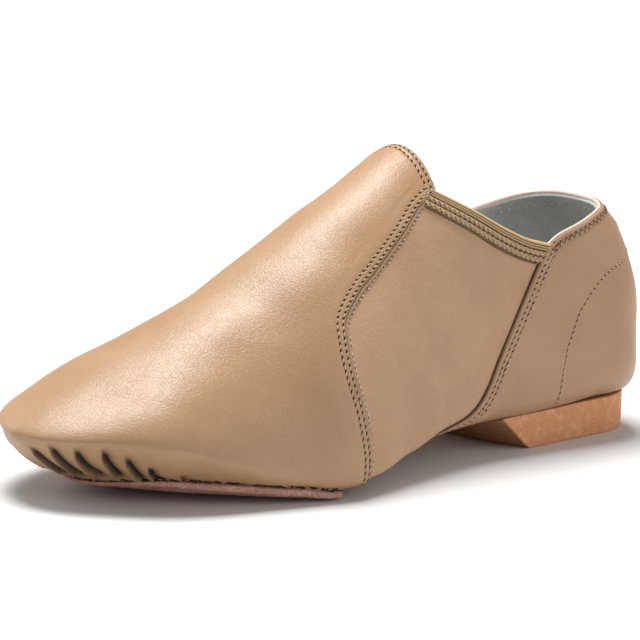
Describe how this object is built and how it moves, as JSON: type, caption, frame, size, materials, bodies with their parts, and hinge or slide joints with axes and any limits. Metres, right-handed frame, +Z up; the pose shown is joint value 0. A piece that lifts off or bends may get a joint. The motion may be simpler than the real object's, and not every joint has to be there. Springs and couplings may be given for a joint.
{
  "type": "jazz shoe",
  "caption": "Left slip-on jazz dance shoe: leather vamp and heel quarter, stretch sides, low heel block and a separate suede forefoot patch.",
  "frame": {"origin": "under the middle of the shoe's bounding box, on the floor it stands on", "axes": "+X towards the toe, +Y towards the outer side of the foot, +Z up"},
  "size_m": [0.2508, 0.0948, 0.1041],
  "materials": {
    "stretch_fabric": "matte",
    "leather": "satin",
    "elastic": "matte",
    "suede": "matte",
    "heel": "matte",
    "insole_board": "matte"
  },
  "bodies": {
    "root": {"upper": "stretch_fabric", "vamp": "leather", "heel_quarter": "leather", "elastic_band_outer": "elastic", "elastic_band_inner": "elastic", "forefoot_sole": "suede", "heel_block": "heel", "insole": "insole_board"}
  },
  "joints": []
}
